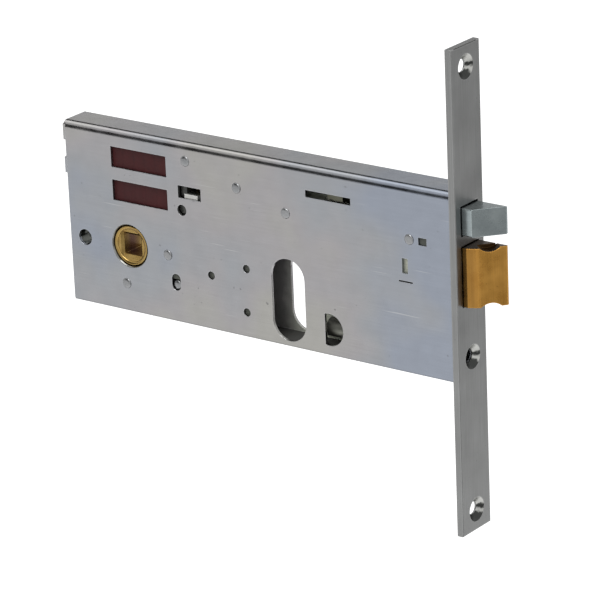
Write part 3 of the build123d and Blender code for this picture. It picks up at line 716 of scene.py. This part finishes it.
def solid_middles(node):
    """The middle of each separate solid of a node, from its mesh."""
    shape = bmesh.new()
    shape.from_mesh(frame["nodes"][node].data)
    bmesh.ops.remove_doubles(shape, verts=shape.verts, dist=merge_distance)
    left = set(shape.verts)
    middles = []
    while left:
        group = {left.pop()}
        fringe = set(group)
        while fringe:
            fringe = {edge.other_vert(vert) for vert in fringe for edge in vert.link_edges} - group
            group |= fringe
        left -= group
        spans = [(min(v.co[i] for v in group), max(v.co[i] for v in group)) for i in range(3)]
        middles.append([0.5 * (low + high) for low, high in spans])
    shape.free()
    return sorted(middles)


def post_heads():
    """The hammered heads of the posts, proud of both sheets, each a little uneven."""
    shape = bmesh.new()
    uneven = random.Random(head_seed)
    crown = [(out * head_radius, -up * head_height) for out, up in head_profile]
    outline = [(0.0, head_sink), (head_radius, head_sink)] + crown
    for x, _, z in solid_middles("case_posts"):
        for side, face in ((0.0, case_low[1]), (180.0, case_high[1])):
            head = turned_y(shape, outline)
            tilt = Matrix.Rotation(radians(uneven.uniform(-head_tilt, head_tilt)), 4, "Z")
            lean = Matrix.Rotation(radians(uneven.uniform(-head_tilt, head_tilt)), 4, "X")
            turn = Matrix.Rotation(radians(side), 4, "Z")
            place = Matrix.Translation((x, face, z))
            bmesh.ops.transform(shape, matrix=place @ turn @ tilt @ lean, verts=head)
    new_piece("post_heads", shape, "case", "post_steel")


def anchor_pin():
    """The anchor post with its domed end."""
    low, high = (Vector(corner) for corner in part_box("anchor_post"))
    radius = 0.5 * (high.x - low.x)
    dome = [(radius * sin(radians(angle)), low.y + dome_share * radius * (1 - cos(radians(angle))))
            for angle in range(0, 91, dome_step_degrees)]
    shape = bmesh.new()
    pin = turned_y(shape, dome + [(radius, high.y), (0.0, high.y)])
    bmesh.ops.translate(shape, vec=(0.5 * (low.x + high.x), 0.0, 0.5 * (low.z + high.z)), verts=pin)
    piece = new_piece("anchor_pin", shape, "case", "post_steel")
    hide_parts("anchor_post")


def hub_collar():
    """The drawn edge of the cover's hole round the follower."""
    face = case_low[1]
    shape = bmesh.new()
    ring = turned_y(shape, [(hub_hole_radius + out, face + deep) for out, deep in collar_profile])
    bmesh.ops.translate(shape, vec=hub_axis, verts=ring)
    new_piece("hub_collar", shape, "case", "case_zinc", "rubbed_zinc")


def follower_lip():
    """The raised lip round the follower's face, dished towards the square."""
    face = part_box("follower_hub")[0][1]
    top = face - lip_height
    crest = [(lip_radius - lip_crest * inwards, top + lip_crest * down) for inwards, down in lip_profile]
    foot = (lip_foot_radius, face + lip_sink)
    outline = [foot, (lip_foot_radius, face - lip_sink), *crest, (lip_radius, face + lip_sink), foot]
    shape = bmesh.new()
    ring = turned_y(shape, outline)
    bmesh.ops.translate(shape, vec=hub_axis, verts=ring)
    new_piece("follower_lip", shape, "follower", "follower_brass")


def hole_shade_sheets():
    """Dark grey sheets behind the cover, as painted shade under its pilot holes, gauge hole and anchor slot.
    """
    face = case_low[1] + sheet
    disc_outline = ((0.0, 0.0), (shade_sheet_radius, 0.0), (shade_sheet_radius, shade_sheet_thick), (0.0, shade_sheet_thick))
    shape = bmesh.new()
    for x, z in pilot_holes:
        disc = turned_y(shape, disc_outline)
        bmesh.ops.translate(shape, vec=(x, face, z), verts=disc)
    for centre, size in shade_sheet_patches:
        raised_pad(shape, centre, size, face + shade_sheet_thick, shade_sheet_thick, shade_sheet_thick)
    new_piece("hole_shade_sheets", shape, "case", "terminal_plastic", "shade_sheet")


def bar_pad():
    """A pad on the draw bar, seen in the upright window."""
    shape = bmesh.new()
    raised_pad(shape, pad_centre, pad_size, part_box("draw_bar")[0][1], pad_height, pad_corner)
    new_piece("bar_pad", shape, "latch", "inner_steel", "pad_steel")


def lug_rib():
    """The lower step behind the lug on the auxiliary bolt's tail, seen in the long slot."""
    low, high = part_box("upper_bolt_tail")
    centre = (lug_rear - 0.5 * rib_length, 0.5 * (low[2] + high[2]))
    shape = bmesh.new()
    raised_pad(shape, centre, (rib_length, rib_height), tail_face, tail_face - low[1] - rib_drop, rib_corner)
    new_piece("lug_rib", shape, "upper_bolt", "inner_steel", "dull_steel")


def wound_wire(wire, turns, outer, length):
    """A round wire wound along +Z, with its two cut ends closed."""
    shape = bmesh.new()
    bmesh.ops.create_circle(shape, cap_ends=False, segments=wire_sides, radius=0.5 * wire)
    start = Matrix.Translation((0.5 * (outer - wire), 0.0, 0.5 * wire))
    upright = Matrix.Rotation(radians(90), 4, "X")
    bmesh.ops.transform(shape, matrix=start @ upright, verts=shape.verts)
    steps = turns * steps_per_turn
    rise = (length - wire) / steps
    bmesh.ops.spin(shape, geom=shape.verts[:] + shape.edges[:], cent=(0, 0, 0), axis=(0, 0, 1),
                   dvec=(0, 0, rise), angle=radians(360) * turns, steps=steps)
    bmesh.ops.remove_doubles(shape, verts=shape.verts, dist=merge_distance)
    for face in shape.faces:
        face.smooth = True
    ends = [edge for edge in shape.edges if edge.is_boundary]
    bmesh.ops.holes_fill(shape, edges=ends, sides=wire_sides)
    return shape


def coil_spring(pressed):
    """One spring in round wire, wound to the size of its node and put in the node's place."""
    node = pressed["node"]
    key = pressed["mode"][-1]
    along = "xyz".index(key)
    low, high = (Vector(corner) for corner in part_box(node))
    middle = 0.5 * (low + high)
    length = high[along] - low[along]
    across = max(high[i] - low[i] for i in range(3) if i != along)
    wire, turns = spring_wires[node]
    shape = wound_wire(wire, turns, across, length)
    foot = middle.copy()
    foot[along] = low[along]
    turn = Matrix.Rotation(radians(90), 4, "Y") if key == "x" else Matrix.Identity(4)
    bmesh.ops.transform(shape, matrix=Matrix.Translation(foot) @ turn, verts=shape.verts)
    piece = new_piece(node + "_wire", shape, "case", "spring_steel")
    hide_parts(node)
    anchor = middle.copy()
    anchor[along] = pressed[f"fixed_end_{key}_m"]
    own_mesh(piece)


def springs():
    """The three coil springs."""
    for joint in frame["record"]["behaviour"]["joints"]:
        for pressed in joint.get("deforming_nodes", []):
            coil_spring(pressed)


post_heads()
anchor_pin()
hub_collar()
follower_lip()
hole_shade_sheets()
bar_pad()
lug_rib()
springs()


def plane_card(name, centre, facing, width, height, material):
    """A flat card whose face looks along a direction."""
    shape = bmesh.new()
    bmesh.ops.create_grid(shape, x_segments=1, y_segments=1, size=0.5)
    bmesh.ops.scale(shape, vec=(width, height, 1.0), verts=shape.verts)
    turn = Vector(facing).to_track_quat("Z", "Y").to_matrix().to_4x4()
    bmesh.ops.transform(shape, matrix=Matrix.Translation(centre) @ turn, verts=shape.verts)
    mesh = bpy.data.meshes.new(name)
    shape.to_mesh(mesh)
    shape.free()
    mesh.materials.append(material)
    card = bpy.data.objects.new(name, mesh)
    bpy.context.scene.collection.objects.link(card)
    return card


def seen_directly(tree):
    """A value of 1 for the rays that show the background: camera, glossy and transmission."""
    path = tree.nodes.new("ShaderNodeLightPath")
    total = path.outputs["Is Camera Ray"]
    for key in ("Is Glossy Ray", "Is Transmission Ray"):
        either = tree.nodes.new("ShaderNodeMath")
        either.operation = "MAXIMUM"
        tree.links.new(total, either.inputs[0])
        tree.links.new(path.outputs[key], either.inputs[1])
        total = either.outputs["Value"]
    return total


def white_world():
    """White where the camera and the metal look, and a soft sky level for the rest."""
    world = bpy.data.worlds.new("white_world")
    bpy.context.scene.world = world
    tree, output = bare_tree(world, "ShaderNodeOutputWorld")
    mix = tree.nodes.new("ShaderNodeMixShader")
    for index, level in ((1, sky_level), (2, 1.0)):
        glow = tree.nodes.new("ShaderNodeBackground")
        glow.inputs["Color"].default_value = (*grey(1.0), 1.0)
        glow.inputs["Strength"].default_value = level
        tree.links.new(glow.outputs["Background"], mix.inputs[index])
    tree.links.new(seen_directly(tree), mix.inputs["Fac"])
    tree.links.new(mix.outputs["Shader"], output.inputs["Surface"])


def pale_floor():
    """A pale floor far below the lock, white to the camera, that still takes a shadow."""
    material = bpy.data.materials.new("pale_floor")
    tree, output = bare_tree(material, "ShaderNodeOutputMaterial")
    matt = tree.nodes.new("ShaderNodeBsdfDiffuse")
    matt.inputs["Color"].default_value = (*grey(floor_grey), 1.0)
    glow = tree.nodes.new("ShaderNodeEmission")
    level = tree.nodes.new("ShaderNodeMath")
    level.operation = "MULTIPLY"
    level.inputs[1].default_value = floor_glow
    tree.links.new(seen_directly(tree), level.inputs[0])
    tree.links.new(level.outputs["Value"], glow.inputs["Strength"])
    both = tree.nodes.new("ShaderNodeAddShader")
    tree.links.new(matt.outputs["BSDF"], both.inputs[0])
    tree.links.new(glow.outputs["Emission"], both.inputs[1])
    tree.links.new(both.outputs["Shader"], output.inputs["Surface"])
    plane_card("floor", (0.0, 0.0, floor_height), (0.0, 0.0, 1.0), floor_width, floor_width, material)


def grey_flag(name, direction, width, height, level):
    """A grey card off to one side that only the metal's reflections see."""
    material = bpy.data.materials.new(name)
    tree, output = bare_tree(material, "ShaderNodeOutputMaterial")
    glow = tree.nodes.new("ShaderNodeEmission")
    glow.inputs["Color"].default_value = (*grey(level), 1.0)
    tree.links.new(glow.outputs["Emission"], output.inputs["Surface"])
    way = Vector(direction).normalized()
    card = plane_card(name, Vector(camera_target) + way * flag_distance, -way, width, height, material)
    card.visible_camera = False
    card.visible_diffuse = False
    card.visible_shadow = False
    card.visible_transmission = False


def soft_lamp(name, place, size, power):
    """A square softbox that looks at the lock."""
    lamp = bpy.data.lights.new(name, "AREA")
    lamp.shape = "SQUARE"
    lamp.size = size
    lamp.energy = power
    lamp_object = bpy.data.objects.new(name, lamp)
    lamp_object.location = place
    aim = Vector(camera_target) - Vector(place)
    lamp_object.rotation_euler = aim.to_track_quat("-Z", "Y").to_euler()
    bpy.context.scene.collection.objects.link(lamp_object)


def photo_camera():
    """A long lens at the photograph's angle."""
    azimuth = radians(camera_azimuth)
    elevation = radians(camera_elevation)
    away = Vector((
        sin(azimuth) * cos(elevation),
        -cos(azimuth) * cos(elevation),
        sin(elevation),
    ))
    optics = bpy.data.cameras.new("photo_camera")
    optics.sensor_width = sensor_width
    optics.lens = camera_lens
    camera = bpy.data.objects.new("photo_camera", optics)
    turn = away.to_track_quat("Z", "Y").to_matrix().to_4x4()
    roll = Matrix.Rotation(radians(-camera_roll), 4, "Z")
    place = Matrix.Translation(Vector(camera_target) + away * camera_distance)
    camera.matrix_world = place @ turn @ roll
    bpy.context.scene.collection.objects.link(camera)
    bpy.context.scene.camera = camera


bpy.context.scene.view_settings.view_transform = "Standard"
photo_camera()
white_world()
pale_floor()
for lamp in lamps:
    soft_lamp(*lamp)
for flag in flags:
    grey_flag(*flag)
